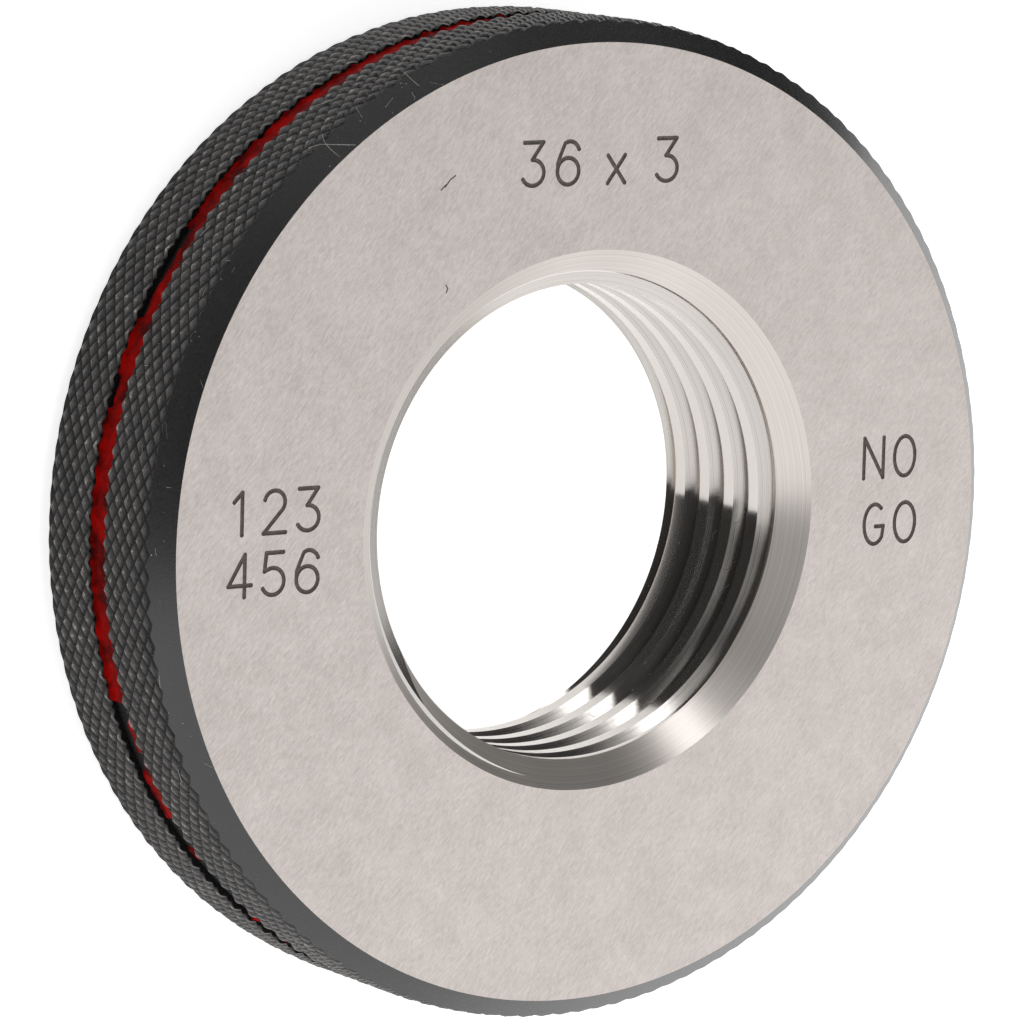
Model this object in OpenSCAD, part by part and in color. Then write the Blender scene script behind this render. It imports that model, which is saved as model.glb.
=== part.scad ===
// NOT GO thread ring gauge for a metric thread 36 mm across with a 3 mm pitch.
// One hardened ring, lying flat: the bore's axis is +Z, the back face is on z = 0
// and the marked front face is up. All sizes are in millimetres.

/* [Blank] */
// Diameter over the crests of the knurl
outer_d = 71; // [62:0.5:90]
// Thickness between the two ground faces
thickness = 16; // [14:0.5:24]
// Radial depth of the 45 degree chamfer round each face
rim_chamfer = 1.65; // [0.6:0.05:2.5]

/* [Thread] */
// Bore over the truncated crests of the thread
crest_d = 33.6; // [30:0.1:36]
// Axial distance from one turn to the next
pitch = 3; // [2.5:0.25:4]
// Angle between the two flanks
flank_angle = 60; // [50:1:65]
// Width of the flat crest
crest_w = 1.16; // [0.6:0.02:1.4]
// Width of the relief cut along the bottom of the thread
relief_w = 0.8; // [0.4:0.05:0.95]
// Depth of that relief below the foot of the flanks
relief_depth = 0.4; // [0.2:0.05:1.2]
// Turn of the thread about the axis, counted from +X
thread_start = 141; // [0:1:360]

/* [Bore mouths] */
// Diameter of the countersink at the front face
front_mouth_d = 38.2; // [37:0.1:42]
// Diameter of the countersink at the back face
back_mouth_d = 37.2; // [37:0.1:42]
// Included angle of both countersinks
mouth_angle = 112; // [90:1:130]
// How far off the bore's axis the countersinks were cut
mouth_offset = 0.35; // [0:0.05:0.6]
// Direction of that offset, counted from +X
mouth_offset_angle = 62; // [0:1:360]

/* [Colour band] */
// Width of the band turned round the middle of the rim
band_w = 2; // [1:0.1:4]
// Depth of that band below the knurl's crests
band_depth = 0.6; // [0.5:0.05:1.5]

/* [Knurl] */
// Diamonds once round the rim
knurl_teeth = 100; // [60:1:110]
// Length of one diamond along the axis
knurl_length = 1.7; // [1.5:0.05:3]
// Height of a diamond from its edge to its tip
knurl_depth = 0.35; // [0.2:0.01:0.5]

/* [Hidden] */
$fn = 180;

// How far a cut runs on past the surface that it opens
overrun = 0.5;

outer_r = outer_d / 2;
face_r = outer_r - rim_chamfer;
band_floor_r = outer_r - band_depth;

// Depth that a countersink gains for each millimetre of radius
mouth_slope = 1 / tan(mouth_angle / 2);
mouth_x = mouth_offset * cos(mouth_offset_angle);
mouth_y = mouth_offset * sin(mouth_offset_angle);

// Half section of the thread groove, at the crest and at the foot of its flank
crest_r = crest_d / 2;
flank_slope = tan(flank_angle / 2);
groove_half_w = (pitch - crest_w) / 2;
relief_half_w = relief_w / 2;
flank_foot_r = crest_r + (groove_half_w - relief_half_w) / flank_slope;
relief_r = flank_foot_r + relief_depth;
steps_per_turn = 36;

// The ring before it is threaded, countersunk and knurled
module blank() {
    rotate_extrude()
        polygon([
            [crest_r, 0],
            [face_r, 0],
            [outer_r + overrun, rim_chamfer + overrun],
            [outer_r + overrun, thickness - rim_chamfer - overrun],
            [face_r, thickness],
            [crest_r, thickness]
        ]);
}

// Countersink of diameter d in a face at z = 0 with the metal above it
module mouth(d) {
    floor_r = crest_r - overrun - mouth_offset;
    translate([mouth_x, mouth_y, -overrun])
        cylinder(
            h = overrun + (d / 2 - floor_r) * mouth_slope,
            r1 = d / 2 + overrun / mouth_slope,
            r2 = floor_r
        );
}

// Groove of the internal thread, swept along its helix until it runs out of both faces
module thread_groove() {
    section = [
        [crest_r - overrun, -groove_half_w - overrun * flank_slope],
        [flank_foot_r, -relief_half_w],
        [relief_r, -relief_half_w],
        [relief_r, relief_half_w],
        [flank_foot_r, relief_half_w],
        [crest_r - overrun, groove_half_w + overrun * flank_slope]
    ];
    sides = len(section);
    turns = ceil(thickness / pitch) + 2;
    rings = turns * steps_per_turn;
    points = [
        for (i = [0 : rings])
            let (turn = i / steps_per_turn, angle = thread_start + 360 * turn)
            for (p = section)
                [p[0] * cos(angle), p[0] * sin(angle), p[1] + (turn - 1) * pitch]
    ];
    last = rings * sides;
    first_cap = [for (k = [1 : sides - 2]) [0, k + 1, k]];
    last_cap = [for (k = [1 : sides - 2]) [last, last + k, last + k + 1]];
    walls = [
        for (i = [0 : rings - 1], k = [0 : sides - 1])
            let (a = i * sides + k, b = i * sides + (k + 1) % sides)
            for (f = [[a, b, a + sides], [b, b + sides, a + sides]]) f
    ];
    polyhedron(points, concat(first_cap, walls, last_cap), convexity = 10);
}

// A thick disc whose rim is covered with four sided pyramids. Tips and hollows take
// turns round each row and from row to row, so their edges cross like a diamond knurl's.
module knurled_disc() {
    row_step = knurl_length / 2;
    middle = thickness / 2;
    // The rows next to the colour band start inside it, so that its edges cut the diamonds
    first_row = (band_w - row_step) / 2;
    row_count = ceil((middle - rim_chamfer - first_row) / row_step);
    upper = [for (j = [0 : row_count]) middle + first_row + j * row_step];
    lower = [for (j = [row_count : -1 : 0]) middle - first_row - j * row_step];
    heights = concat([-overrun], lower, upper, [thickness + overrun]);
    rows = len(heights);
    around = 2 * knurl_teeth;
    rim = [
        for (j = [0 : rows - 1], k = [0 : around - 1])
            let (angle = 360 * k / around, r = (j + k) % 2 == 0 ? outer_r : outer_r - knurl_depth)
            [r * cos(angle), r * sin(angle), heights[j]]
    ];
    bottom_centre = len(rim);
    top_centre = bottom_centre + 1;
    top_row = (rows - 1) * around;
    // Each cell is split from hollow to hollow, so that the tips stand free
    walls = [
        for (j = [0 : rows - 2], k = [0 : around - 1])
            let (a = j * around + k, b = j * around + (k + 1) % around)
            for (f = (j + k) % 2 == 0
                ? [[a, a + around, b], [b, a + around, b + around]]
                : [[a, a + around, b + around], [a, b + around, b]]) f
    ];
    bottom = [for (k = [0 : around - 1]) [bottom_centre, k, (k + 1) % around]];
    top = [for (k = [0 : around - 1]) [top_centre, top_row + (k + 1) % around, top_row + k]];
    points = concat(rim, [[0, 0, heights[0]], [0, 0, heights[rows - 1]]]);
    polyhedron(points, concat(walls, bottom, top), convexity = 10);
}

// Ring of air that is turned away for the colour band
module colour_band() {
    translate([0, 0, (thickness - band_w) / 2])
        difference() {
            cylinder(h = band_w, r = outer_r + overrun);
            translate([0, 0, -overrun])
                cylinder(h = band_w + 2 * overrun, r = band_floor_r);
        }
}

module gauge_ring() {
    color("darkgray")
        difference() {
            intersection() {
                blank();
                knurled_disc();
            }
            mouth(back_mouth_d);
            translate([0, 0, thickness]) mirror([0, 0, 1]) mouth(front_mouth_d);
            colour_band();
            thread_groove();
        }
}

gauge_ring();
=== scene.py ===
"""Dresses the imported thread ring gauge: ground faces, cut thread, knurled rim and its studio."""

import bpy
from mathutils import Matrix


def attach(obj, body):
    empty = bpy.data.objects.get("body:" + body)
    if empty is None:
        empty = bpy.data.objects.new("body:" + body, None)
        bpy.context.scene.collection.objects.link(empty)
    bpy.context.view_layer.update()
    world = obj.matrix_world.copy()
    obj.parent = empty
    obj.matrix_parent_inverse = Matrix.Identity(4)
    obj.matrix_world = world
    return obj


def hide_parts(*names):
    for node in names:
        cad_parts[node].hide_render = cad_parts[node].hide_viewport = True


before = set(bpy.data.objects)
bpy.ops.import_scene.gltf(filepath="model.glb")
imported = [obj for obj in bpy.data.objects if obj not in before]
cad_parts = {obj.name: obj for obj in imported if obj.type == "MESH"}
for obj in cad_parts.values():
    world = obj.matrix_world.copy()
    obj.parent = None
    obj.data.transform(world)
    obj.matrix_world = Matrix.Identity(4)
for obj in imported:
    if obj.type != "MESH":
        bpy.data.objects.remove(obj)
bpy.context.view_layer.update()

import logging
import math
import random
from collections import Counter
from dataclasses import dataclass, field
from enum import Enum
from typing import Callable, Sequence

import bpy
from bpy.types import Material, MeshEdge, MeshPolygon, Node, NodeSocket, NodeTree, Object
from mathutils import Matrix, Vector, noise

LOG = logging.getLogger("ring_gauge")
MM = 0.001
NODE = "gauge_ring"
# Sides of every turned shape
ROUND = 360
# Where the axis of the countersinks stands off the bore's axis, in millimetres
MOUTH_CENTRE = (0.1643, 0.309)


def linear(hex_colour: str) -> tuple[float, float, float, float]:
    """Turns an sRGB hex colour into the linear colour that a shader takes.

    Args:
        hex_colour: The colour as "#rrggbb".

    Returns:
        Red, green, blue and alpha in linear light.
    """
    channels = []
    for start in (1, 3, 5):
        value = int(hex_colour[start:start + 2], 16) / 255
        channels.append(value / 12.92 if value <= 0.04045 else ((value + 0.055) / 1.055) ** 2.4)
    return (*channels, 1.0)


def per_mm(size: float) -> float:
    """Gives the texture scale, on coordinates in metres, at which one cell is `size` millimetres."""
    return 1 / (size * MM)


def polar(turn: float, radius: float, height: float) -> Vector:
    """Gives the point at an azimuth in degrees, a radius and a height."""
    angle = math.radians(turn)
    return Vector((radius * math.cos(angle), radius * math.sin(angle), height))


def feed(tree: NodeTree, node: Node, inputs: dict) -> None:
    """Sets or links the inputs of a node.

    Args:
        tree: The node tree that the node is in.
        node: The node that is fed.
        inputs: For each input, by name or number, a value, an output socket, or a node whose first
            output in use is taken.
    """
    for key, value in inputs.items():
        if isinstance(value, Node):
            value = next(socket for socket in value.outputs if socket.enabled)
        if isinstance(value, NodeSocket):
            tree.links.new(value, node.inputs[key])
        else:
            node.inputs[key].default_value = value


def add_node(
    tree: NodeTree,
    kind: str,
    inputs: dict | None = None,
    stops: Sequence[tuple[float, str]] = (),
    **settings: object,
) -> Node:
    """Adds one node with its settings, its values and the links into it.

    Args:
        tree: The node tree that gets the node.
        kind: The node's type without its first word, such as "TexNoise".
        inputs: What each input gets, as `feed` takes it.
        stops: Position and colour of each stop, for a node with a colour ramp.
        **settings: The node's own settings by name.

    Returns:
        The new node.
    """
    node = tree.nodes.new(f"ShaderNode{kind}")
    for name, value in settings.items():
        setattr(node, name, value)
    feed(tree, node, inputs or {})
    if stops:
        for element, (position, colour) in zip(node.color_ramp.elements, stops):
            element.position = position
            element.color = linear(colour)
    return node


def new_material(name: str) -> tuple[Material, NodeTree]:
    """Starts a material.

    Args:
        name: The finish's name.

    Returns:
        The material and its node tree.
    """
    material = bpy.data.materials.new(name)
    material.use_nodes = True
    return material, material.node_tree


def activate(piece: Object) -> None:
    """Makes one object the only selected one and the active one."""
    bpy.ops.object.select_all(action="DESELECT")
    piece.select_set(True)
    bpy.context.view_layer.objects.active = piece


def settle(piece: Object) -> Object:
    """Puts an object's place, turn and scale into its mesh, so that it sits at the origin.

    Args:
        piece: The object.

    Returns:
        The same object.
    """
    activate(piece)
    bpy.ops.object.transform_apply(location=True, rotation=True, scale=True)
    return piece


def begin_edit(piece: Object, mode: str = "FACE", action: str = "SELECT") -> None:
    """Opens an object for editing.

    Args:
        piece: The object to edit.
        mode: "VERT", "EDGE" or "FACE", what is selected from here on.
        action: "SELECT" or "DESELECT", which is done to the whole mesh.
    """
    activate(piece)
    bpy.ops.object.mode_set(mode="EDIT")
    bpy.ops.mesh.select_mode(type=mode)
    bpy.ops.mesh.select_all(action=action)


def end_edit() -> None:
    """Goes back to object mode."""
    bpy.ops.object.mode_set(mode="OBJECT")


def pick(piece: Object, mode: str, test: Callable[[MeshEdge | MeshPolygon], bool]) -> None:
    """Opens an object for editing with those edges or faces selected that pass a test.

    Args:
        piece: The object to edit.
        mode: "EDGE" or "FACE", what is tested.
        test: Says of one edge or face whether it is selected.
    """
    begin_edit(piece, mode, "DESELECT")
    end_edit()
    for part in piece.data.edges if mode == "EDGE" else piece.data.polygons:
        part.select = test(part)
    bpy.ops.object.mode_set(mode="EDIT")


def face_outwards(piece: Object) -> None:
    """Turns every face of a closed shape outwards."""
    begin_edit(piece)
    bpy.ops.mesh.normals_make_consistent(inside=False)
    end_edit()


def apply_modifier(piece: Object, kind: str, **settings: object) -> None:
    """Adds a modifier to an object and applies it.

    Args:
        piece: The object that is changed.
        kind: The modifier's type, such as "BOOLEAN".
        **settings: The modifier's properties by name.
    """
    activate(piece)
    modifier = piece.modifiers.new(kind.lower(), kind)
    for name, value in settings.items():
        setattr(modifier, name, value)
    bpy.ops.object.modifier_apply(modifier=modifier.name)


def add_cylinder(radius: float, depth: float, middle: float, ends: str = "NGON") -> Object:
    """Adds a round bar along the ring's axis.

    Args:
        radius: Its radius in millimetres.
        depth: Its length in millimetres.
        middle: The height of its middle in millimetres.
        ends: "NGON", or "NOTHING" for an open tube.

    Returns:
        The bar.
    """
    bpy.ops.mesh.primitive_cylinder_add(
        vertices=ROUND, radius=radius * MM, depth=depth * MM, location=(0, 0, middle * MM),
        end_fill_type=ends,
    )
    return settle(bpy.context.object)


def add_rod(points: Sequence[Sequence[float]], radius: float, bent: bool) -> Object:
    """Makes a thin round rod with closed ends.

    Args:
        points: The points that it follows, in metres.
        radius: Its radius in millimetres.
        bent: Whether it bends softly and is rough, or is straight from point to point and round.

    Returns:
        The rod as a mesh.
    """
    curve = bpy.data.curves.new("rod", "CURVE")
    curve.dimensions = "3D"
    curve.bevel_depth = radius * MM
    curve.bevel_resolution = 0 if bent else 2
    curve.resolution_u = 5
    curve.use_fill_caps = True
    spline = curve.splines.new("NURBS" if bent else "POLY")
    spline.points.add(len(points) - 1)
    for point, place in zip(spline.points, points):
        point.co = (*place, 1)
    if bent:
        spline.order_u = 3
        spline.use_endpoint_u = True
    rod = bpy.data.objects.new("rod", curve)
    bpy.context.scene.collection.objects.link(rod)
    activate(rod)
    bpy.ops.object.convert(target="MESH")
    return bpy.context.object


class Surface(Enum):
    """The kinds of surface on the ring, in the order of its materials."""

    FACE = 0
    MOUTH = 1
    THREAD = 2
    KNURL = 3
    CHAMFER = 4
    BAND = 5
    MARK = 6


class Cut(Enum):
    """How one solid works on another."""

    AWAY = "DIFFERENCE"
    COMMON = "INTERSECT"


def carve(piece: Object, tool: Object, how: Cut = Cut.AWAY) -> None:
    """Cuts an object with a tool and throws the tool away.

    Args:
        piece: The object that is cut.
        tool: The solid that cuts it.
        how: Whether the tool's solid is taken away, or what both have in common is kept.
    """
    apply_modifier(piece, "BOOLEAN", object=tool, operation=how.value, solver="MANIFOLD")
    bpy.data.objects.remove(tool)


@dataclass(frozen=True)
class GroundSteel:
    """Tool steel ground flat on a wheel."""

    # Ground steel is satin: the soft light lies on it as an even sheen with fine parallel lines
    name: str = "surface_ground_tool_steel"
    light: str = "#e6ddd8"
    dark: str = "#cac1bc"
    # Grit lines are some hundredths wide; they are drawn at the width that one pixel can show
    grain_mm: float = 0.15
    grain_length_mm: float = 0.5
    patch_mm: float = 2.4
    grain_turn: float = math.radians(50)
    roughness: float = 0.34

    def material(self) -> Material:
        """Builds the finish: grit lines tint, roughen and emboss the steel.

        Returns:
            The material of the two ground faces.
        """
        material, tree = new_material(self.name)
        place = add_node(tree, "TexCoord").outputs["Object"]
        turned = add_node(
            tree, "Mapping", {"Vector": place, "Rotation": (0, 0, self.grain_turn)},
            vector_type="TEXTURE",
        )
        stretched = add_node(
            tree, "Mapping", {"Vector": turned, "Scale": (self.grain_mm / self.grain_length_mm, 1, 1)}
        )
        grit = add_node(
            tree, "TexNoise",
            {"Vector": stretched, "Scale": per_mm(self.grain_mm), "Detail": 3.0, "Roughness": 0.65,
             "Distortion": 0.6},
        )
        cloud = add_node(
            tree, "TexNoise",
            {"Vector": place, "Scale": per_mm(self.patch_mm), "Detail": 3.0, "Roughness": 0.5},
        )
        tone = add_node(tree, "Mix", {"Factor": 0.25, "A": grit, "B": cloud}, data_type="FLOAT")
        colour = add_node(
            tree, "ValToRGB", {"Fac": tone}, stops=[(0.34, self.dark), (0.66, self.light)]
        )
        rough = add_node(
            tree, "MapRange",
            {"Value": grit, "To Min": self.roughness - 0.06, "To Max": self.roughness + 0.08},
        )
        bump = add_node(tree, "Bump", {"Height": grit, "Strength": 0.25, "Distance": 0.01 * MM})
        feed(tree, tree.nodes["Principled BSDF"], {
            "Base Color": colour, "Metallic": 1.0, "Roughness": rough, "Normal": bump,
        })
        return material


@dataclass(frozen=True)
class TurnedSteel:
    """Tool steel cut on a lathe."""

    # Turned steel is bright: its rings follow the tool and draw what it mirrors out across them
    name: str = "lathe_turned_tool_steel"
    light: str = "#efe8e2"
    dark: str = "#d8d1cb"
    ring_mm: float = 0.09
    roughness: float = 0.33
    relief: float = 0.25
    spread: float = 0.85
    centre: tuple[float, float] = (0.0, 0.0)
    # Radius from which the metal is painted paler, as painted light that lifts the shade there; 99 leaves
    # it out
    painted_light_from_mm: float = 99.0
    pale: str = "#f6f2ee"

    def material(self) -> Material:
        """Builds the finish: tool rings tint, roughen and emboss the steel, and past a set radius it is
        painted paler as light.

        Returns:
            The material of the countersinks or of the thread.
        """
        material, tree = new_material(self.name)
        place = add_node(tree, "TexCoord").outputs["Object"]
        centred = add_node(
            tree, "Mapping",
            {"Vector": place, "Location": (-self.centre[0] * MM, -self.centre[1] * MM, 0),
             "Scale": (1, 1, 0)},
        )
        radius = add_node(tree, "VectorMath", {0: centred}, operation="LENGTH")
        rings = add_node(
            tree, "TexNoise",
            {"W": radius, "Scale": per_mm(self.ring_mm), "Detail": 2.0, "Roughness": 0.6},
            noise_dimensions="1D",
        )
        colour = add_node(tree, "ValToRGB", {"Fac": rings}, stops=[(0.3, self.dark), (0.7, self.light)])
        # Painted light: past that radius the colour turns paler
        outside = add_node(
            tree, "Math", {0: radius, 1: self.painted_light_from_mm * MM}, operation="GREATER_THAN"
        )
        toned = add_node(
            tree, "Mix", {"Factor": outside, "A": colour, "B": linear(self.pale)}, data_type="RGBA"
        )
        rough = add_node(
            tree, "MapRange",
            {"Value": rings, "To Min": self.roughness - 0.05, "To Max": self.roughness + 0.07},
        )
        bump = add_node(
            tree, "Bump", {"Height": rings, "Strength": self.relief, "Distance": 0.012 * MM}
        )
        feed(tree, tree.nodes["Principled BSDF"], {
            "Base Color": toned, "Metallic": 1.0, "Roughness": rough, "Normal": bump,
            "Anisotropic": self.spread, "Anisotropic Rotation": 0.25,
            "Tangent": add_node(tree, "Tangent", direction_type="RADIAL", axis="Z"),
        })
        return material


@dataclass(frozen=True)
class BlackOxide:
    """Hot black oxide on steel: a thin dark oiled coat."""

    # On the knurl it is near black and smoky, with grey flecks where hands rubbed the crests bare; its
    # hollows are painted darker as shade
    name: str = "black_oxide_on_knurled_steel"
    hollow_shade: str = "#0f0d0c"
    coat: str = "#0e0c0b"
    smoky: str = "#574f4c"
    bare: str = "#8f8a84"
    crest_mm: float = 35.42
    hollow_mm: float = 35.19
    patch_mm: float = 3.0
    fleck_mm: float = 0.28
    # Value of the pattern from which the steel is bare, and its soft edge; 2 leaves no flecks
    fleck_from: float = 0.53
    fleck_edge: float = 0.08
    ior: float = 1.45
    roughness: float = 0.4
    relief: float = 1.0
    # How much the coat mirrors in the hollows, dulled there as painted shade, and on the crests
    gloss: tuple[float, float] = (0.22, 0.85)

    def material(self) -> Material:
        """Builds the coat: clouds of thin and thick oxide, flecks of bare steel on what stands out, and
        painted shade that darkens the hollows.

        Returns:
            The material of the knurl, the chamfers or the band.
        """
        material, tree = new_material(self.name)
        place = add_node(tree, "TexCoord").outputs["Object"]
        flat = add_node(tree, "Mapping", {"Vector": place, "Scale": (1, 1, 0)})
        radius = add_node(tree, "VectorMath", {0: flat}, operation="LENGTH")
        high = add_node(
            tree, "MapRange",
            {"Value": radius, "From Min": self.hollow_mm * MM, "From Max": self.crest_mm * MM},
        )
        # Painted shade: the coat mirrors less down in the hollows
        low_gloss, high_gloss = self.gloss
        mirrored: Node | float = low_gloss
        if low_gloss != high_gloss:
            mirrored = add_node(
                tree, "MapRange", {"Value": high, "To Min": low_gloss, "To Max": high_gloss}
            )
        cloud = add_node(
            tree, "TexNoise",
            {"Vector": place, "Scale": per_mm(self.patch_mm), "Detail": 6.0, "Roughness": 0.7},
        )
        fleck = add_node(
            tree, "TexNoise",
            {"Vector": place, "Scale": per_mm(self.fleck_mm), "Detail": 3.0, "Roughness": 0.6},
        )
        patchy = add_node(
            tree, "MapRange",
            {"Value": cloud, "From Min": 0.35, "From Max": 0.65, "To Min": 0.8, "To Max": 1.12},
        )
        spots = add_node(tree, "Math", {0: fleck, 1: patchy}, operation="MULTIPLY")
        rubbed = add_node(tree, "Math", {0: high, 1: spots}, operation="MULTIPLY")
        bare = add_node(
            tree, "MapRange",
            {"Value": rubbed, "From Min": self.fleck_from,
             "From Max": self.fleck_from + self.fleck_edge},
        )
        mottled = add_node(tree, "Mix", {"Factor": 0.6, "A": cloud, "B": fleck}, data_type="FLOAT")
        oxide = add_node(
            tree, "ValToRGB", {"Fac": mottled}, stops=[(0.4, self.coat), (0.62, self.smoky)]
        )
        # Painted shade: the colour darkens from the crests down into the hollows
        hollow_shaded = add_node(
            tree, "Mix", {"Factor": high, "A": linear(self.hollow_shade), "B": oxide}, data_type="RGBA"
        )
        colour = add_node(
            tree, "Mix", {"Factor": bare, "A": hollow_shaded, "B": linear(self.bare)}, data_type="RGBA"
        )
        rough = add_node(
            tree, "MapRange",
            {"Value": fleck, "To Min": self.roughness - 0.08, "To Max": self.roughness + 0.12},
        )
        bump = add_node(tree, "Bump", {"Height": fleck, "Strength": self.relief, "Distance": 0.14 * MM})
        feed(tree, tree.nodes["Principled BSDF"], {
            "Base Color": colour, "Metallic": bare, "Roughness": rough, "Normal": bump,
            "IOR": self.ior, "Specular IOR Level": mirrored,
        })
        return material


@dataclass(frozen=True)
class BandEnamel:
    """Red enamel brushed into the band."""

    # Old brushed enamel is opaque and dull, and darker where it is thin
    name: str = "brushed_red_enamel"
    thick: str = "#b00b06"
    thin: str = "#520604"
    patch_mm: float = 1.8

    def material(self) -> Material:
        """Builds the enamel: two reds in soft patches over faint brush marks.

        Returns:
            The material of the paint film.
        """
        material, tree = new_material(self.name)
        place = add_node(tree, "TexCoord").outputs["Object"]
        patch = add_node(
            tree, "TexNoise",
            {"Vector": place, "Scale": per_mm(self.patch_mm), "Detail": 4.0, "Roughness": 0.6},
        )
        colour = add_node(
            tree, "ValToRGB", {"Fac": patch}, stops=[(0.38, self.thin), (0.6, self.thick)]
        )
        bump = add_node(tree, "Bump", {"Height": patch, "Strength": 0.3, "Distance": 0.03 * MM})
        feed(tree, tree.nodes["Principled BSDF"], {
            "Base Color": colour, "Roughness": 0.5, "IOR": 1.2, "Specular IOR Level": 0.1,
            "Normal": bump,
        })
        return material


@dataclass(frozen=True)
class Speckled:
    """A dull surface of two tones in fine spots: lint, or an etched floor."""

    name: str
    light: str
    dark: str
    spot_mm: float
    detail: float
    # Where between the darkest and the lightest spot each tone begins
    stops: tuple[float, float]
    roughness: float

    def material(self) -> Material:
        """Builds the finish: the tone changes softly from spot to spot.

        Returns:
            The material of the dust or of the marking.
        """
        material, tree = new_material(self.name)
        place = add_node(tree, "TexCoord").outputs["Object"]
        spots = add_node(
            tree, "TexNoise", {"Vector": place, "Scale": per_mm(self.spot_mm), "Detail": self.detail}
        )
        colour = add_node(
            tree, "ValToRGB", {"Fac": spots},
            stops=[(self.stops[0], self.dark), (self.stops[1], self.light)],
        )
        feed(tree, tree.nodes["Principled BSDF"], {"Base Color": colour, "Roughness": self.roughness})
        return material


def arc(
    centre: tuple[float, float], radii: tuple[float, float], start: float, end: float
) -> list[tuple[float, float]]:
    """Gives points along part of an ellipse.

    Args:
        centre: The ellipse's centre.
        radii: Its two half widths.
        start: The first point's angle in degrees.
        end: The last point's angle in degrees.

    Returns:
        The points in order, about every 15 degrees.
    """
    count = max(2, round(abs(end - start) / 15))
    angles = [math.radians(start + (end - start) * k / count) for k in range(count + 1)]
    return [(centre[0] + radii[0] * math.cos(a), centre[1] + radii[1] * math.sin(a)) for a in angles]


# Strokes of each sign, in heights of a capital from its lower left corner
STROKES: dict[str, list[list[tuple[float, float]]]] = {
    "1": [[(0.12, 0.78), (0.34, 1)], [(0.34, 1), (0.34, 0)]],
    "2": [arc((0.3, 0.72), (0.28, 0.28), 165, -38) + [(0, 0)], [(0, 0), (0.6, 0)]],
    "3": [
        [(0.04, 1), (0.56, 1)], [(0.56, 1), (0.26, 0.6)],
        [(0.26, 0.6)] + arc((0.28, 0.3), (0.31, 0.3), 80, -150),
    ],
    "4": [[(0.44, 0), (0.44, 1)], [(0.44, 1), (0, 0.27)], [(0, 0.27), (0.62, 0.27)]],
    "5": [
        [(0.56, 1), (0.1, 1)], [(0.1, 1), (0.05, 0.57)],
        [(0.05, 0.57)] + arc((0.28, 0.32), (0.31, 0.32), 115, -150),
    ],
    "6": [
        arc((0.34, 0.68), (0.28, 0.32), 25, 120) + arc((0.48, 0.4), (0.48, 0.5), 150, 185),
        arc((0.3, 0.31), (0.3, 0.31), 0, 360),
    ],
    "x": [[(0.02, 0), (0.5, 0.64)], [(0.02, 0.64), (0.5, 0)]],
    "N": [[(0, 0), (0, 1)], [(0, 1), (0.6, 0)], [(0.6, 0), (0.6, 1)]],
    "O": [arc((0.32, 0.5), (0.32, 0.5), 90, 450)],
    "G": [arc((0.32, 0.5), (0.32, 0.5), 52, 318), [(0.56, 0.17), (0.6, 0.44)], [(0.6, 0.44), (0.36, 0.44)]],
}


@dataclass(frozen=True)
class Line:
    """One line of marking: its signs and, in millimetres, where they stand on the face."""

    signs: str
    left: float
    base: float
    height: float
    gap: float


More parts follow.
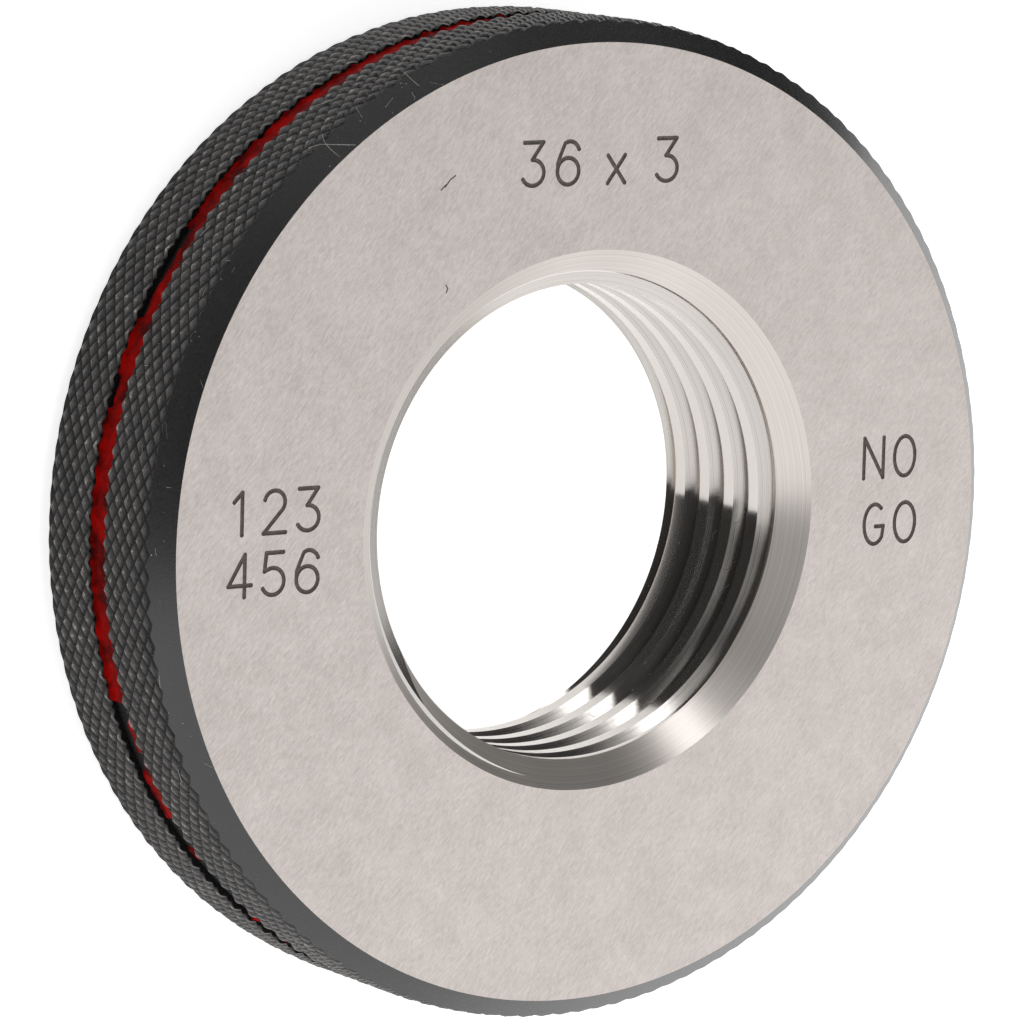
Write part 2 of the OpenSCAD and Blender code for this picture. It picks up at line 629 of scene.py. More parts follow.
@dataclass
class RingGauge:
    """The one turned ring: blank, knurl, colour band, thread, countersinks and marking."""

    # Blank, in millimetres like all sizes
    outer_r: float = 35.5
    thickness: float = 16.0
    rim_chamfer: float = 1.65
    # Thread
    crest_r: float = 16.8
    pitch: float = 3.0
    crest_w: float = 1.16
    relief_w: float = 0.8
    flank_foot_r: float = 17.701
    relief_r: float = 18.101
    thread_start: float = 141.0
    # Steps of the thread's helix in one turn
    helix_steps: int = 180
    # Countersinks: radius in each face, depth gained for each millimetre of radius
    front_mouth_r: float = 19.1
    back_mouth_r: float = 18.6
    mouth_slope: float = 0.6745
    # Colour band
    band_w: float = 2.0
    band_depth: float = 0.6
    # Knurl: diamonds once round, their length and height, and the two steps up a diamond's side
    knurl_teeth: int = 139
    knurl_length: float = 1.22
    knurl_depth: float = 0.3
    knurl_foot: float = 0.2
    knurl_tip: float = 0.16
    # Wear: the height that crests lost, the size of its patches, and the share lost at the rim's edges
    knurl_wear: float = 0.11
    wear_mm: float = 1.1
    edge_wear: float = 0.45
    # Marking: the tool's radius for a stroke and for a nick, its middle's height over the face in
    # radii, and a space's share of a sign's width
    stroke_r: float = 0.175
    nick_r: float = 0.055
    tool_lift: float = 0.3
    space: float = 0.45
    lines: tuple[Line, ...] = (
        Line("36 x 3", -6.6, 24.05, 3.0, 2.9),
        Line("NO", 23.9, 1.95, 2.9, 2.75),
        Line("GO", 24.1, -2.9, 2.9, 2.75),
        Line("123", -29.7, 1.15, 2.9, 2.7),
        Line("456", -29.7, -3.1, 2.9, 2.7),
    )
    nicks: tuple[tuple[tuple[float, float], ...], ...] = (
        ((-13.3, 24.0), (-12.9, 24.35)),
        ((-12.95, 24.2), (-12.55, 24.7), (-12.15, 24.95)),
        ((-12.7, 17.45), (-12.55, 17.2), (-12.65, 16.95)),
        ((17.2, 8.75), (17.35, 8.95)),
    )
    # How far a cut runs on past the surface that it opens, and the knurled disc past each face
    overrun: float = 0.5
    disc_overrun: float = 2.5
    # Up to which angle between two faces their edge is shaded as a curve
    smooth_angle: float = math.radians(28)
    finishes: dict[Surface, GroundSteel | TurnedSteel | BlackOxide | Speckled] = field(
        default_factory=lambda: {
            Surface.FACE: GroundSteel(),
            Surface.MOUTH: TurnedSteel(centre=MOUTH_CENTRE),
            # A lapped thread is smoother and mirrors more sharply; its relief is painted paler, as painted
            # light against the shade in it
            Surface.THREAD: TurnedSteel(
                name="lapped_thread_steel", light="#d8d3ce", dark="#c3beb9", roughness=0.18,
                relief=0.1, spread=0.3, painted_light_from_mm=17.71,
            ),
            Surface.KNURL: BlackOxide(),
            # On a turned chamfer the oxide is smooth and shows the studio as a dark grey ring
            # The hollow shade mix reaches in from 33 mm, so it darkens the chamfer towards the face
            Surface.CHAMFER: BlackOxide(
                name="black_oxide_on_turned_steel", coat="#171616", smoky="#252424", hollow_mm=33.0,
                crest_mm=35.6, fleck_mm=0.2, fleck_from=0.62, ior=1.9, roughness=0.27,
                relief=0.045, gloss=(0.5, 0.5),
            ),
            # In the band the oxide is painted darker and more matt than on the knurl, as the shade of the
            # sunk groove
            Surface.BAND: BlackOxide(
                name="black_oxide_with_painted_band_shade", hollow_shade="#070606", coat="#0b0a0a", smoky="#131212",
                fleck_from=2.0, ior=1.3, roughness=0.7, gloss=(0.5, 0.5),
            ),
            # An electro-etched floor is a dull brown grey that stands out from the bright face
            Surface.MARK: Speckled("electro_etched_mark", "#756b63", "#5a524c", 0.25, 3.0, (0.3, 0.7), 0.7),
        }
    )

    @property
    def middle(self) -> float:
        """Height of the ring's middle."""
        return self.thickness / 2

    @property
    def face_r(self) -> float:
        """Radius at which a face ends and its chamfer begins."""
        return self.outer_r - self.rim_chamfer

    @property
    def band_floor_r(self) -> float:
        """Radius of the colour band's floor."""
        return self.outer_r - self.band_depth

    def blank(self) -> Object:
        """Turns the plain ring with the chamfer round each face.

        Returns:
            The blank, a little wider than the knurl's crests.
        """
        blank = add_cylinder(self.outer_r + self.overrun, self.thickness, self.middle)
        blank.name = "ring_gauge"

        def is_flat(edge: MeshEdge) -> bool:
            """Says whether an edge runs round one end of the bar."""
            low, high = sorted(blank.data.vertices[index].co.z for index in edge.vertices)
            return high - low < MM * MM

        pick(blank, "EDGE", is_flat)
        bpy.ops.mesh.bevel(
            offset=(self.rim_chamfer + self.overrun) * MM, offset_type="OFFSET", segments=1
        )
        end_edit()
        return blank

    def mouth_cutter(self, radius: float, front: bool) -> Object:
        """Makes the cone of one countersink.

        Args:
            radius: The countersink's radius in its face.
            front: Whether it is in the marked face, or in the back.

        Returns:
            The cutter, which runs on past the face.
        """
        tip = self.crest_r - 2 * self.overrun
        depth = self.overrun + (radius - tip) * self.mouth_slope
        wide = radius + self.overrun / self.mouth_slope
        middle = depth / 2 - self.overrun
        low_r, high_r = (tip, wide) if front else (wide, tip)
        height = self.thickness - middle if front else middle
        bpy.ops.mesh.primitive_cone_add(
            vertices=ROUND, radius1=low_r * MM, radius2=high_r * MM, depth=depth * MM,
            location=(MOUTH_CENTRE[0] * MM, MOUTH_CENTRE[1] * MM, height * MM),
        )
        return settle(bpy.context.object)

    def band_cutter(self) -> Object:
        """Makes the ring of air that is turned away for the colour band.

        Returns:
            The cutter, which runs on past the knurl's crests.
        """
        ring = add_cylinder(self.outer_r + self.overrun, self.band_w, self.middle)
        carve(ring, add_cylinder(self.band_floor_r, 2 * self.band_w, self.middle))
        return ring

    def thread_cutter(self) -> Object:
        """Sweeps the groove's section along the right-hand helix.

        Returns:
            The cutter, which runs out of both faces.
        """
        half_w, relief = (self.pitch - self.crest_w) / 2, self.relief_w / 2
        slope = (half_w - relief) / (self.flank_foot_r - self.crest_r)
        mouth = half_w + self.overrun * slope
        section = [
            (self.crest_r - self.overrun, -mouth), (self.flank_foot_r, -relief),
            (self.relief_r, -relief), (self.relief_r, relief),
            (self.flank_foot_r, relief), (self.crest_r - self.overrun, mouth),
        ]
        bpy.ops.mesh.primitive_circle_add(vertices=len(section), radius=MM)
        cutter = bpy.context.object
        for vertex, (radius, height) in zip(cutter.data.vertices, section):
            vertex.co = polar(self.thread_start, radius * MM, (height - self.pitch) * MM)
        apply_modifier(
            cutter, "SCREW", axis="Z", angle=math.tau, screw_offset=self.pitch * MM,
            iterations=math.ceil(self.thickness / self.pitch) + 2, steps=self.helix_steps,
            render_steps=self.helix_steps, use_merge_vertices=False,
        )
        begin_edit(cutter, "VERT")
        bpy.ops.mesh.fill_holes(sides=0)
        end_edit()
        face_outwards(cutter)
        return cutter

    def diamonds(self) -> Object:
        """Models one diamond of the knurl and copies it up and round.

        Returns:
            The knurl as an open sleeve that is longer than the ring.
        """
        root_r = self.outer_r - self.knurl_depth
        tooth = 2 * root_r * math.tan(math.pi / self.knurl_teeth)
        rows = math.ceil((self.thickness + 2) / self.knurl_length)
        lowest = self.middle - rows * self.knurl_length / 2
        bpy.ops.mesh.primitive_circle_add(
            vertices=4, radius=0.5 * MM, fill_type="NGON",
            location=(root_r * MM, 0, lowest * MM), rotation=(0, math.pi / 2, 0),
        )
        sleeve = bpy.context.object
        sleeve.scale = (self.knurl_length, tooth, 1)
        settle(sleeve)
        begin_edit(sleeve)
        bpy.ops.mesh.inset(thickness=self.knurl_foot * MM, depth=self.knurl_foot * MM)
        bpy.ops.mesh.inset(
            thickness=self.knurl_tip * MM, depth=(self.knurl_depth - self.knurl_foot) * MM
        )
        end_edit()
        apply_modifier(
            sleeve, "ARRAY", count=rows, use_relative_offset=False, use_constant_offset=True,
            constant_offset_displace=(0, 0, self.knurl_length * MM),
        )
        begin_edit(sleeve)
        bpy.ops.mesh.duplicate()
        bpy.ops.transform.rotate(
            value=math.pi / self.knurl_teeth, orient_axis="Z", center_override=(0, 0, 0)
        )
        bpy.ops.transform.translate(value=(0, 0, self.knurl_length / 2 * MM))
        bpy.ops.mesh.select_all(action="SELECT")
        bpy.ops.mesh.spin(
            steps=self.knurl_teeth - 1, dupli=True, center=(0, 0, 0), axis=(0, 0, 1),
            angle=math.tau * (self.knurl_teeth - 1) / self.knurl_teeth,
        )
        bpy.ops.mesh.select_all(action="SELECT")
        bpy.ops.mesh.remove_doubles(threshold=0.03 * MM)
        end_edit()
        return sleeve

    def knurled_disc(self) -> Object:
        """Wears the knurl down in patches and closes it to a disc that is thicker than the ring.

        Returns:
            The disc.
        """
        disc = self.diamonds()
        root_r = self.outer_r - self.knurl_depth
        for vertex in disc.data.vertices:
            radius = vertex.co.xy.length / MM
            off = abs(vertex.co.z / MM - self.middle) - (self.middle - self.rim_chamfer - 1.0)
            fade = min(1.0, max(0.0, off))
            worn = 0.5 + 0.5 * noise.noise(vertex.co * per_mm(self.wear_mm))
            lower = self.knurl_wear * worn + self.edge_wear * fade * (radius - root_r)
            vertex.co.xy *= 1 - lower / radius
        for side in (-1, 1):
            uses = Counter(loop.edge_index for loop in disc.data.loops)

            def is_open(edge: MeshEdge) -> bool:
                """Says whether an edge of the side in hand has only one face."""
                off = disc.data.vertices[edge.vertices[0]].co.z - self.middle * MM
                return uses[edge.index] == 1 and off * side > 0

            pick(disc, "EDGE", is_open)
            bpy.ops.mesh.extrude_edges_move(TRANSFORM_OT_translate={"value": (0, 0, side * MM)})
            level = (self.middle + side * (self.middle + self.disc_overrun)) * MM
            bpy.ops.transform.resize(value=(1, 1, 0), center_override=(0, 0, level))
            bpy.ops.mesh.edge_face_add()
            end_edit()
        face_outwards(disc)
        return disc

    def scratch(self, ring: Object, points: Sequence[tuple[float, float]], radius: float) -> None:
        """Sinks one round groove with round ends into the front face.

        Args:
            ring: The ring that is marked.
            points: The groove's way over the face, in millimetres.
            radius: The tool's radius in millimetres.
        """
        height = (self.thickness + self.tool_lift * radius) * MM
        way = [(x * MM, y * MM, height) for x, y in points]
        rod = add_rod(way, radius, bent=False)
        begin_edit(rod, "VERT")
        bpy.ops.mesh.remove_doubles(threshold=1e-7)
        end_edit()
        face_outwards(rod)
        carve(ring, rod)
        for end in (way[0], way[-1]):
            bpy.ops.mesh.primitive_uv_sphere_add(
                segments=12, ring_count=8, radius=radius * MM, location=end
            )
            carve(ring, settle(bpy.context.object))

    def engrave(self, ring: Object, line: Line) -> None:
        """Sinks one line of signs into the front face.

        Args:
            ring: The ring that is marked.
            line: The signs and their place.
        """
        left = line.left
        for sign in line.signs:
            for stroke in STROKES.get(sign, []):
                way = [(left + x * line.height, line.base + y * line.height) for x, y in stroke]
                self.scratch(ring, way, self.stroke_r)
            left += line.gap * (self.space if sign == " " else 1.0)

    def surface_at(self, centre: Vector, normal: Vector, inner: float) -> Surface:
        """Says which surface of the ring a face belongs to, from its place and normal.

        Args:
            centre: The middle of the face, in metres.
            normal: Its outward normal.
            inner: The least radius that the face reaches, in metres.

        Returns:
            The kind of surface.
        """
        # How near the shape's own surfaces the middle of a flat facet lies, in millimetres
        near, skin = 0.02, 0.005
        height = centre.z / MM
        radius = centre.xy.length / MM
        from_mouth = (centre.xy / MM - Vector(MOUTH_CENTRE)).length
        depth = min(height, self.thickness - height)
        mouth_r = self.front_mouth_r if height > self.middle else self.back_mouth_r
        upright = abs(normal.z)
        if inner / MM > self.face_r - near and depth > skin:
            on_chamfer = abs(radius - self.face_r - depth) < near
            if on_chamfer and abs(upright - math.sqrt(0.5)) < 0.01:
                return Surface.CHAMFER
            in_band = abs(height - self.middle) < self.band_w / 2 + near
            return Surface.BAND if in_band else Surface.KNURL
        if depth < skin and upright > 0.99:
            return Surface.FACE
        on_cone = abs(from_mouth - (mouth_r - depth / self.mouth_slope)) < 1.5 * near
        if on_cone and abs(upright - 1 / math.hypot(1, self.mouth_slope)) < 0.02:
            return Surface.MOUTH
        if depth < self.stroke_r + near and radius > self.front_mouth_r + 0.5:
            return Surface.MARK
        return Surface.THREAD

    def dress(self, ring: Object) -> None:
        """Gives every surface its finish and a crisp edge to the next one.

        Args:
            ring: The finished shape.
        """
        ring.data.materials.clear()
        for surface in Surface:
            ring.data.materials.append(self.finishes[surface].material())
        activate(ring)
        bpy.ops.object.shade_smooth_by_angle(angle=self.smooth_angle)
        kinds: dict[int, Surface] = {}
        for polygon in ring.data.polygons:
            inner = min(ring.data.vertices[index].co.xy.length for index in polygon.vertices)
            kind = self.surface_at(polygon.center, polygon.normal, inner)
            polygon.material_index = kind.value
            for loop in polygon.loop_indices:
                edge = ring.data.loops[loop].edge_index
                if edge not in kinds:
                    kinds[edge] = kind
                elif kinds[edge] is not kind:
                    ring.data.edges[edge].use_edge_sharp = True
                elif kind is Surface.KNURL:
                    # The worn diamonds have no crisp ridges left
                    ring.data.edges[edge].use_edge_sharp = False

    def build(self) -> Object:
        """Makes the ring and dresses it.

        Returns:
            The finished ring, which stands for the CAD node.
        """
        ring = self.blank()
        carve(ring, add_cylinder(self.crest_r, 2 * self.thickness, self.middle))
        carve(ring, self.mouth_cutter(self.front_mouth_r, True))
        carve(ring, self.mouth_cutter(self.back_mouth_r, False))
        for line in self.lines:
            self.engrave(ring, line)
        for nick in self.nicks:
            self.scratch(ring, nick, self.nick_r)
        carve(ring, self.knurled_disc(), Cut.COMMON)
        carve(ring, self.band_cutter())
        carve(ring, self.thread_cutter())
        self.dress(ring)
        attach(ring, "root")
        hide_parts(NODE)
        return ring


@dataclass
class PaintFilm:
    """The red paint in the colour band, with its bare patches and its broken end."""

    gauge: RingGauge
    # The film's thickness, how unevenly it lies, over patches of what size, and the width of its edge
    film: float = 0.12
    uneven: float = 0.03
    uneven_mm: float = 0.8
    edge_w: float = 0.18
    # How far the paint climbs the band's walls, how much more at each tooth, and from how far away
    climb: float = 0.2
    tooth_climb: float = 0.1
    wall_reach: float = 0.35
    # The film is sunk into the metal below, behind and above what shows
    lap: float = 0.03
    sunk: float = 0.06
    back: float = 0.15
    steps: int = 1390
    rows: int = 16
    # From and to where each stroke of paint reaches, in degrees, and its two edges in millimetres
    strokes: tuple[tuple[float, float, float, float], ...] = (
        (20, 143, 6.85, 9.2), (141, 152, 7.5, 9.2), (150, 156, 7.25, 9.2), (154.5, 161.5, 6.6, 9.2),
        (160.5, 166, 7.12, 9.2), (165, 199, 6.6, 9.2), (201, 205.3, 7.8, 9.2),
        (206.3, 208.2, 7.8, 9.2), (207.6, 214.6, 7.08, 9.2), (218.9, 221, 7.15, 8.0),
        (231.8, 233.3, 6.9, 7.6), (237.2, 238.4, 6.9, 7.4), (262, 290, 7.2, 8.8),
        (296, 330, 6.6, 8.4), (334, 378, 6.6, 9.2),
    )
    enamel: BandEnamel = field(default_factory=BandEnamel)

    def reach(self, turn: float, height: float) -> float:
        """Says how far inside the paint a point of the band lies.

        Args:
            turn: The point's azimuth in degrees.
            height: Its height in millimetres.

        Returns:
            The distance to the paint's nearest edge in millimetres, below zero on bare metal.
        """
        degree_mm = math.radians(1) * self.gauge.band_floor_r
        best = -1.0
        for start, end, low, high in self.strokes:
            for lap in (turn, turn + 360):
                along = min((lap - start) * degree_mm, (end - lap) * degree_mm)
                best = max(best, min(along, height - low, high - height))
        spot = polar(turn, self.gauge.band_floor_r, height)
        # The brush left a ragged edge, with bays of about 1 mm and finer teeth in them
        return best + 0.2 * noise.noise(spot * 1.3) + 0.15 * noise.noise(spot * 4.0)

    def build(self) -> Object:
        """Spins the film round the band and lets it sink into the metal where the paint is missing.

        Returns:
            The paint as one closed ring.
        """
        floor_r = self.gauge.band_floor_r
        half_w = self.gauge.band_w / 2 + self.lap
        low, high = self.gauge.middle - half_w, self.gauge.middle + half_w
        bpy.ops.mesh.primitive_circle_add(vertices=self.rows + 3, radius=MM)
        film = bpy.context.object
        film.name = "band_paint"
        section = [(floor_r, low + (high - low) * k / self.rows) for k in range(self.rows + 1)]
        section += [(floor_r - self.back, high), (floor_r - self.back, low)]
        for vertex, (radius, height) in zip(film.data.vertices, section):
            vertex.co = (radius * MM, 0, height * MM)
        apply_modifier(
            film, "SCREW", axis="Z", angle=math.tau, screw_offset=0, steps=self.steps,
            render_steps=self.steps, use_merge_vertices=True, merge_threshold=1e-6,
        )
        for vertex in film.data.vertices:
            radius, height = vertex.co.xy.length / MM, vertex.co.z / MM
            if radius < floor_r - self.back / 2:
                continue
            angle = math.atan2(vertex.co.y, vertex.co.x)
            cover = min(1.0, max(0.0, self.reach(math.degrees(angle) % 360, height) / self.edge_w))
            climb = self.climb - self.tooth_climb * math.cos(self.gauge.knurl_teeth * angle)
            wall = max(0.0, 1 - min(height - low, high - height) / self.wall_reach)
            uneven = self.uneven * noise.noise(vertex.co * per_mm(self.uneven_mm))
            raised = cover * (self.sunk + self.film + uneven + climb * wall * wall) - self.sunk
            vertex.co.xy *= (floor_r + raised) / radius
        face_outwards(film)
        film.data.materials.append(self.enamel.material())
        bpy.ops.object.shade_smooth_by_angle(angle=math.radians(60))
        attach(film, "root")
        return film


@dataclass
class BenchDust:
    """Lint and specks that lie on the rim and in the thread."""

    gauge: RingGauge
    # Long fibres on the chamfer's upper left: turn in degrees, radius and height in millimetres
    strands: tuple[tuple[tuple[float, float, float], ...], ...] = (
        ((130.5, 35.5, 14.36), (129.4, 35.3, 14.57), (128.4, 34.77, 15.1), (126.6, 33.97, 15.9)),
        ((128.2, 35.5, 14.36), (128.7, 35.27, 14.6), (129.0, 34.7, 15.17), (129.0, 34.1, 15.77)),
        ((124.3, 35.46, 9.57), (123.6, 35.48, 10.59), (122.1, 35.46, 11.23)),
        ((115.8, 35.48, 14.4), (115.8, 34.97, 14.9), (115.6, 34.48, 15.39)),
        ((116.8, 34.4, 15.47), (117.1, 34.2, 15.67), (116.9, 34.1, 15.77), (117.3, 33.99, 15.88)),
    )
    strand_r: float = 0.022
    # Short fibres on the rim: how many, between which turns and heights, and their radii
    rim_fibres: int = 22
    fibre_turns: tuple[float, float] = (105, 215)
    fibre_heights: tuple[float, float] = (9.4, 14.0)
    fibre_r: tuple[float, float] = (0.008, 0.016)
    # Specks on the rim
    rim_specks: int = 70
    speck_turns: tuple[float, float] = (100, 235)
    speck_heights: tuple[float, float] = (9.2, 14.2)
    speck_r: tuple[float, float] = (0.015, 0.045)
    # Specks in the thread, and the turn and groove of each fibre there
    thread_specks: int = 40
    thread_turns: tuple[float, float] = (-72, -8)
    thread_grooves: tuple[int, int] = (2, 6)
    thread_speck_r: tuple[float, float] = (0.015, 0.05)
    thread_fibres: tuple[tuple[float, int], ...] = (
        (-6, 5), (-12, 4), (-18, 5), (-24, 5), (-58, 5), (-63, 5), (-66, 4),
    )
    thread_fibre_r: float = 0.014
    # On the chamfer: the least radius and how far out from there; and how far it stands off the metal
    chamfer_from: float = 33.93
    chamfer_w: float = 1.5
    lift: float = 0.02
    # How far below the knurl's crests it lies there
    crest_sink: float = 0.06
    # On a flank: how deep it reaches, how much it rises on the way, and how far below the groove's
    # middle it begins
    flank_depth: float = 0.85
    flank_rise: float = 0.5
    flank_low: float = 0.9
    seed: int = 36
    # Cotton lint is pale and quite dull, so it shows on the black rim and not on the bright steel
    lint: Speckled = Speckled("pale_lint", "#d8d4cd", "#8d8881", 2.0, 2.0, (0.35, 0.65), 0.8)

    def on_chamfer(self, turn: float, share: float) -> Vector:
        """Gives a point of the front chamfer, in millimetres.

        Args:
            turn: Its azimuth in degrees.
            share: How far out it lies, from 0 at the face to 1 at the knurl.

        Returns:
            The point.
        """
        radius = self.chamfer_from + self.chamfer_w * share
        return polar(turn, radius, self.gauge.thickness + self.lift - (radius - self.gauge.face_r))

    def on_knurl(self, turn: float, height: float) -> Vector:
        """Gives a point on the knurl's crests at a turn in degrees and a height in millimetres."""
        return polar(turn, self.gauge.outer_r - self.crest_sink, height)

    def on_flank(self, turn: float, groove: int, share: float) -> Vector:
        """Gives a point on the upper side of a thread ridge, in millimetres.

        Args:
            turn: Its azimuth in degrees.
            groove: Which turn of the groove it lies in.
            share: How deep it lies, from 0 at the crest to 1 at the foot.

        Returns:
            The point.
        """
        turns_up = (turn - self.gauge.thread_start) / 360 - 1 + groove
        height = turns_up * self.gauge.pitch - self.flank_low + self.flank_rise * share
        return polar(turn, self.gauge.crest_r + self.lift + self.flank_depth * share, height)

    def hair(self, points: Sequence[Vector], radius: float) -> Object:
        """Lays one fibre through some points, all in millimetres."""
        return add_rod([point * MM for point in points], radius, bent=True)

    def speck(self, spot: Vector, size: float) -> Object:
        """Sets one crumb of dust at a point.

        Args:
            spot: The point in millimetres.
            size: The crumb's radius in millimetres.

        Returns:
            The crumb, longer than wide and flat.
        """
        bpy.ops.mesh.primitive_ico_sphere_add(subdivisions=1, radius=size * MM, location=spot * MM)
        crumb = bpy.context.object
        crumb.scale = (1.3, 0.8, 0.6)
        return settle(crumb)

    def on_rim(self, chance: random.Random) -> list[Object]:
        """Strews fibres and specks on the chamfer and the knurl.

        Args:
            chance: The source of random numbers.

        Returns:
            The bits of dust.
        """
        bits = []
        for _ in range(self.rim_fibres):
            turn, share = chance.uniform(*self.fibre_turns), chance.uniform(0.1, 0.9)
            drift, rise = chance.uniform(-2.0, 2.0), chance.uniform(-0.5, 0.5)
            if chance.random() < 0.5:
                way = [
                    self.on_chamfer(turn + drift * k / 3, min(1, max(0, share + rise * k / 3)))
                    for k in range(4)
                ]
            else:
                height = chance.uniform(*self.fibre_heights)
                way = [self.on_knurl(turn + drift * k / 3, height + rise * k / 2) for k in range(4)]
            bits.append(self.hair(way, chance.uniform(*self.fibre_r)))
        for _ in range(self.rim_specks):
            turn, share = chance.uniform(*self.speck_turns), chance.random()
            spot = self.on_chamfer(turn, share)
            if chance.random() < 0.4:
                spot = self.on_knurl(turn, chance.uniform(*self.speck_heights))
            bits.append(self.speck(spot, chance.uniform(*self.speck_r)))
        return bits

    def in_thread(self, chance: random.Random) -> list[Object]:
        """Strews specks and fibres on the thread's ridges.

        Args:
            chance: The source of random numbers.

        Returns:
            The bits of dust.
        """
        bits = []
        top = self.gauge.thickness - 1
        for _ in range(self.thread_specks):
            turn, groove = chance.uniform(*self.thread_turns), chance.randint(*self.thread_grooves)
            spot = self.on_flank(turn, groove, chance.random())
            if 0.5 < spot.z < top:
                bits.append(self.speck(spot, chance.uniform(*self.thread_speck_r)))
        for turn, groove in self.thread_fibres:
            shares = (0.2, 0.8, 0.5, 0.9)
            way = [self.on_flank(turn + 1.1 * k, groove, share) for k, share in enumerate(shares)]
            if way[0].z < top:
                bits.append(self.hair(way, self.thread_fibre_r))
        return bits

    def build(self) -> Object:
        """Strews the dust and joins it into one piece.

        Returns:
            The dust.
        """
        chance = random.Random(self.seed)
        bits = [
            self.hair([polar(*point) for point in strand], self.strand_r) for strand in self.strands
        ]
        bits += self.on_rim(chance)
        bits += self.in_thread(chance)
        activate(bits[0])
        for bit in bits:
            bit.select_set(True)
        bpy.ops.object.join()
        dust = bpy.context.object
        dust.name = "bench_dust"
        dust.data.materials.clear()
        dust.data.materials.append(self.lint.material())
        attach(dust, "root")
        return dust


@dataclass(frozen=True)
class Screen:
    """One softbox or dark screen: the directions that it fills, in degrees, its light and soft edge."""

    azimuths: tuple[float, float]
    elevations: tuple[float, float]
    strength: float
    softness: float


@dataclass(frozen=True)
class Card:
    """A card that only steel mirrors, with a tone for each side, or None where it lets light through."""

    name: str
    finish: str
    front: float | None
    back: float | None
    # The azimuths that a card in the bore reaches, in degrees
    azimuths: tuple[float, float] = (0.0, 0.0)

    def hang(self, sheet: Object) -> None:
        """Makes a sheet this card.

        Args:
            sheet: The sheet, which gets its name and material and is hidden from all other light.
        """
        material, tree = new_material(self.finish)
        tree.nodes.remove(tree.nodes["Principled BSDF"])
        sides = [
            add_node(tree, "BsdfTransparent") if tone is None
            else add_node(tree, "Emission", {"Strength": tone})
            for tone in (self.front, self.back)
        ]
        turned = add_node(tree, "NewGeometry").outputs["Backfacing"]
        sided = add_node(tree, "MixShader", {0: turned, 1: sides[0], 2: sides[1]})
        feed(tree, tree.nodes["Material Output"], {"Surface": sided})
        sheet.name = self.name
        sheet.data.materials.append(material)
        sheet.visible_camera = False
        sheet.visible_shadow = False
        sheet.visible_diffuse = False


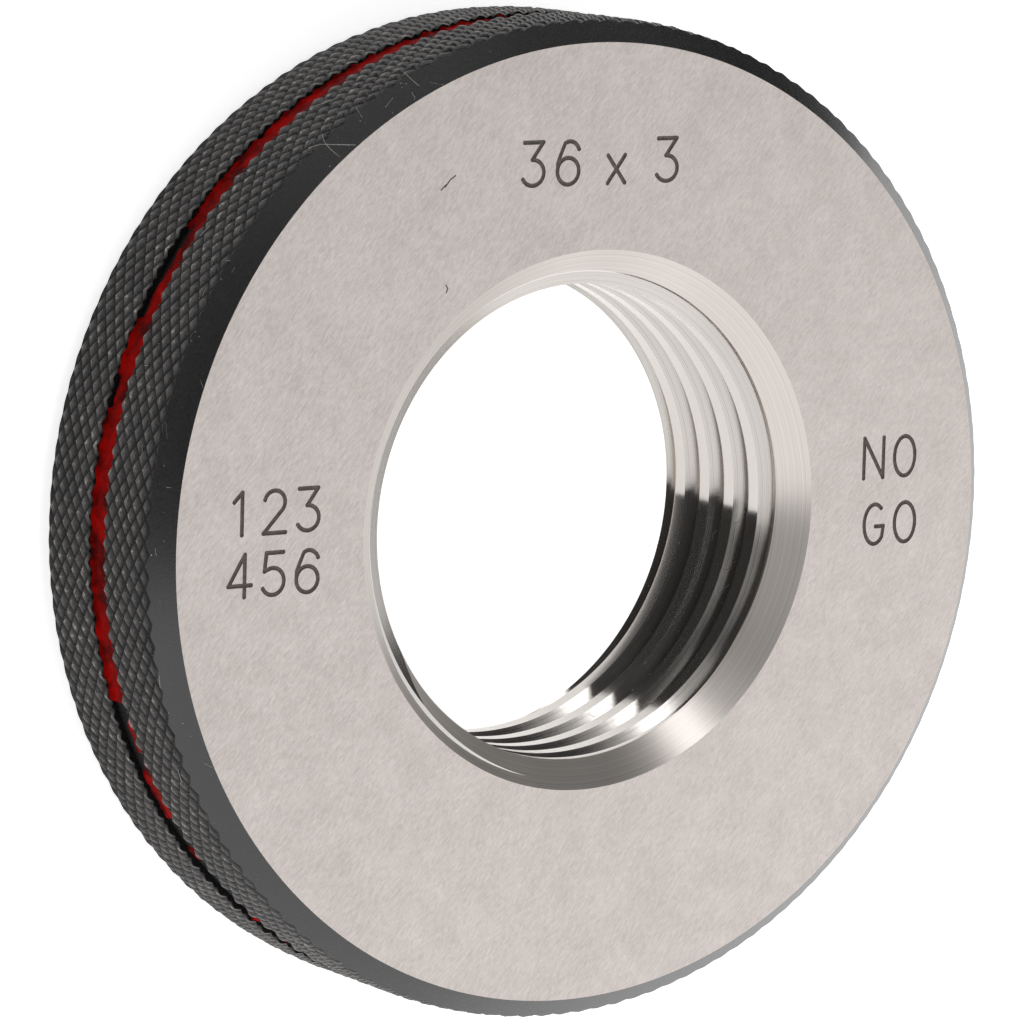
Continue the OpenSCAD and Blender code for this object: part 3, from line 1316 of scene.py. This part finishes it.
@dataclass
class Studio:
    """The pale floor, the soft light and the camera at the photograph's viewing angle."""

    fill: float = 0.3
    screens: tuple[Screen, ...] = (
        Screen((-166, -45), (27, 68), 1.03, 3.0),
        Screen((-166, -80), (-20, 27), 0.85, 6.0),
        Screen((-54, 1), (-20, 30), 1.4, 4.0),
        Screen((-80, 8), (32, 58), 1.2, 6.0),
        Screen((-80, -2), (8, 36), 1.15, 6.0),
        Screen((-15, 30), (54, 68), 0.5, 6.0),
        Screen((4, 33), (-9, 16), 0.03, 3.0),
        Screen((-4, 34), (18, 46), 0.1, 4.0),
        Screen((33, 72), (0, 36), 0.17, 5.0),
        Screen((16, 32), (13, 24), 0.02, 2.0),
        Screen((28, 46), (22, 35), 0.02, 2.0),
        Screen((40, 64), (31, 48), 0.02, 2.5),
        Screen((77, 93), (36, 55), 4.2, 3.0),
        Screen((93, 116), (30, 64), 0.4, 3.0),
        Screen((116, 194), (29, 78), 0.04, 4.0),
        Screen((-180, 180), (72, 108), 1.35, 4.0),
    )
    # Cards bent along the bore, which face the thread and its lip, and their sizes in millimetres; they
    # paint dark and light reflections into the thread and onto its lip
    bore_cards: tuple[Card, ...] = (
        Card("card_in_bore", "black_and_white_card", 0.035, 0.55, (-53.0, -3.0)),
        Card("card_for_lip", "black_lip_card", None, 0.03, (-1.0, 48.0)),
    )
    card_r: float = 15.2
    card_h: float = 14.0
    card_middle: float = 7.3
    # Card on the table behind the ring, its outline and its height in millimetres; it paints a dark
    # reflection onto the rim
    table_card: Card = Card("card_on_table", "black_table_card", 0.04, 0.04)
    table_outline: tuple[tuple[float, float], ...] = (
        (64, 36), (160, 70), (700, 250), (700, 700), (-60, 700), (-30, 60), (20, 52),
    )
    table_card_z: float = 0.05
    # Floor, in metres, and the light that makes it white to the camera and to the steel
    floor_w: float = 6.0
    floor_glow: float = 0.75
    camera_place: tuple[float, float, float] = (-0.245219, 0.064332, 0.364916)
    camera_right: tuple[float, float, float] = (0.82752, 0.02685, 0.56080)
    camera_up: tuple[float, float, float] = (0.06069, 0.98873, -0.13689)
    lens_mm: float = 216.587
    sensor_mm: float = 36.0

    def camera(self) -> None:
        """Puts the camera where the photograph was taken from."""
        right = Vector(self.camera_right).normalized()
        up = (Vector(self.camera_up) - Vector(self.camera_up).project(right)).normalized()
        back = right.cross(up)
        data = bpy.data.cameras.new("camera")
        data.lens = self.lens_mm
        data.sensor_width = self.sensor_mm
        data.sensor_fit = "HORIZONTAL"
        data.clip_start = 0.01
        data.clip_end = 20.0
        camera = bpy.data.objects.new("camera", data)
        turn = Matrix((right, up, back)).transposed().to_4x4()
        camera.matrix_world = Matrix.Translation(self.camera_place) @ turn
        bpy.context.scene.collection.objects.link(camera)
        bpy.context.scene.camera = camera

    def floor(self) -> None:
        """Lays a plain white floor that shows white to the camera and keeps the soft shadow."""
        bpy.ops.mesh.primitive_plane_add(size=self.floor_w, location=(0, 0, 0))
        floor = bpy.context.object
        floor.name = "floor"
        material, tree = new_material("matt_white_table")
        shader = tree.nodes["Principled BSDF"]
        feed(tree, shader, {
            "Base Color": linear("#e6e6e6"), "Roughness": 0.9, "Specular IOR Level": 0.1,
        })
        path = add_node(tree, "LightPath").outputs
        seen = add_node(
            tree, "Math", {0: path["Is Camera Ray"], 1: path["Is Glossy Ray"]}, operation="MAXIMUM"
        )
        glow = add_node(tree, "Emission", {"Color": (1, 1, 1, 1), "Strength": self.floor_glow})
        dark = add_node(tree, "Emission", {"Strength": 0.0})
        extra = add_node(tree, "MixShader", {0: seen, 1: dark, 2: glow})
        total = add_node(tree, "AddShader", {0: shader, 1: extra})
        feed(tree, tree.nodes["Material Output"], {"Surface": total})
        floor.data.materials.append(material)

    def within(
        self, tree: NodeTree, angle: Node, span: tuple[float, float], softness: float
    ) -> Node:
        """Adds the nodes that say how far a direction is within a span.

        Args:
            tree: The world's node tree.
            angle: The direction's azimuth or elevation.
            span: The span's two ends in degrees.
            softness: Half the width of its soft edge in degrees.

        Returns:
            A node that gives 1 inside the span and 0 outside.
        """
        low, high = span
        middle, half = math.radians((low + high) / 2), math.radians((high - low) / 2)
        soft = math.radians(softness)
        off = add_node(tree, "Math", {0: angle, 1: middle}, operation="SUBTRACT")
        wrapped = add_node(tree, "Math", {0: off, 1: -math.pi, 2: math.pi}, operation="WRAP")
        away = add_node(tree, "Math", {0: wrapped}, operation="ABSOLUTE")
        return add_node(
            tree, "MapRange", {"Value": away, "From Min": half + soft, "From Max": half - soft},
            interpolation_type="SMOOTHSTEP",
        )

    def world(self) -> None:
        """Surrounds the ring with its softboxes and dark screens, and the camera with white."""
        world = bpy.data.worlds.new("studio")
        world.use_nodes = True
        tree = world.node_tree
        way = add_node(tree, "TexCoord").outputs["Generated"]
        part = add_node(tree, "SeparateXYZ", {0: way}).outputs
        azimuth = add_node(tree, "Math", {0: part["Y"], 1: part["X"]}, operation="ARCTAN2")
        elevation = add_node(tree, "Math", {0: part["Z"]}, operation="ARCSINE")
        light: Node | float = self.fill
        for screen in self.screens:
            across = self.within(tree, azimuth, screen.azimuths, screen.softness)
            upward = self.within(tree, elevation, screen.elevations, screen.softness)
            mask = add_node(tree, "Math", {0: across, 1: upward}, operation="MULTIPLY")
            light = add_node(
                tree, "Mix", {"Factor": mask, "A": light, "B": screen.strength}, data_type="FLOAT"
            )
        seen = add_node(tree, "LightPath").outputs["Is Camera Ray"]
        strength = add_node(tree, "Mix", {"Factor": seen, "A": light, "B": 1.0}, data_type="FLOAT")
        feed(tree, tree.nodes["Background"], {"Color": (1, 1, 1, 1), "Strength": strength})
        bpy.context.scene.world = world

    def cards(self) -> None:
        """Bends the cards in the bore from a tube, and lays the card on the table."""
        for card in self.bore_cards:
            tube = add_cylinder(self.card_r, self.card_h, self.card_middle, "NOTHING")
            start, end = card.azimuths

            def is_outside(face: MeshPolygon) -> bool:
                """Says whether a face of the tube is no part of the card."""
                return not start < math.degrees(math.atan2(face.center.y, face.center.x)) < end

            pick(tube, "FACE", is_outside)
            bpy.ops.mesh.delete(type="FACE")
            end_edit()
            card.hang(tube)
        bpy.ops.mesh.primitive_circle_add(
            vertices=len(self.table_outline), radius=MM, fill_type="NGON"
        )
        flat = bpy.context.object
        for vertex, (x, y) in zip(flat.data.vertices, self.table_outline):
            vertex.co = (x * MM, y * MM, self.table_card_z * MM)
        self.table_card.hang(flat)

    def build(self) -> None:
        """Sets up the whole studio."""
        self.camera()
        self.floor()
        self.world()
        self.cards()
        bpy.context.scene.view_settings.view_transform = "Standard"


def main() -> None:
    """Builds the studio and the three pieces."""
    logging.basicConfig(level=logging.INFO, format="%(name)s: %(message)s")
    Studio().build()
    LOG.info("studio is set up")
    gauge = RingGauge()
    for part in (gauge, PaintFilm(gauge), BenchDust(gauge)):
        piece = part.build()
        LOG.info("%s has %d faces", piece.name, len(piece.data.polygons))


if __name__ == "__main__":
    main()
